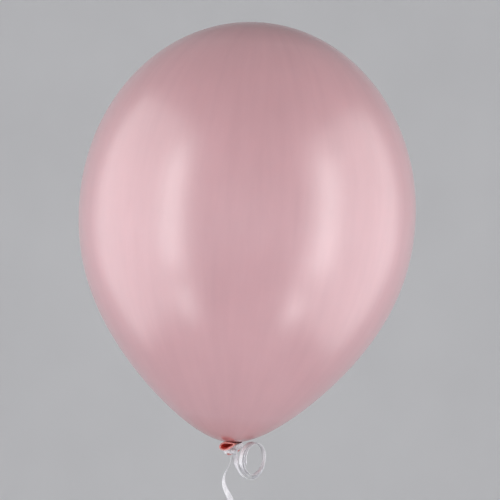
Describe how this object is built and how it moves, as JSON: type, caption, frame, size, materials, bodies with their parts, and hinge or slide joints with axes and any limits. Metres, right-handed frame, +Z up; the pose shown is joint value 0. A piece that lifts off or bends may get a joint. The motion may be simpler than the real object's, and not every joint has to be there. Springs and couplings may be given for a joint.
{
  "type": "latex balloon",
  "caption": "Inflated pear-shaped latex balloon, neck folded and tied off, with an open rolled-lip tail, a ribbon curl and a hanging curling ribbon.",
  "frame": {"origin": "middle of the neck's tie, on the balloon's axis", "axes": "+Z up the balloon's axis to the crown, +X to the right as seen from the open tail's side, -Y towards the open tail and the ribbon's knot"},
  "size_m": [0.2999, 0.3, 0.5181],
  "materials": {
    "latex_inflated": "satin, thin stretched latex",
    "latex_unstretched": "satin, thick unstretched latex",
    "ribbon": "glossy polypropylene curling ribbon"
  },
  "bodies": {
    "balloon": {"envelope": "latex_inflated", "neck": "latex_inflated", "bunch": "latex_unstretched", "neck_fold": "latex_unstretched", "tail": "latex_unstretched", "lip": "latex_unstretched", "ribbon_wrap": "ribbon"},
    "knot": {"ribbon_knot": "ribbon"},
    "curl": {"curl_lead": "ribbon", "ribbon_curl": "ribbon"},
    "ribbon": {"ribbon_tail": "ribbon", "ribbon_coil": "ribbon", "coil_tie": "ribbon"}
  },
  "joints": [
    {"name": "knot_swing", "type": "hinge", "parent": "balloon", "child": "knot", "pos_m": [0.0035, -0.0119, -0.002], "axis": [0, 1, 0], "range_deg": [-3, 35]},
    {"name": "ribbon_swing", "type": "hinge", "parent": "knot", "child": "ribbon", "pos_m": [0.0035, -0.0119, -0.002], "axis": [1, 0, 0], "range_deg": [-70, 20]},
    {"name": "curl_swing", "type": "hinge", "parent": "knot", "child": "curl", "pos_m": [0.0035, -0.0119, -0.002], "axis": [1, 0, 0], "range_deg": [-30, 30]}
  ]
}
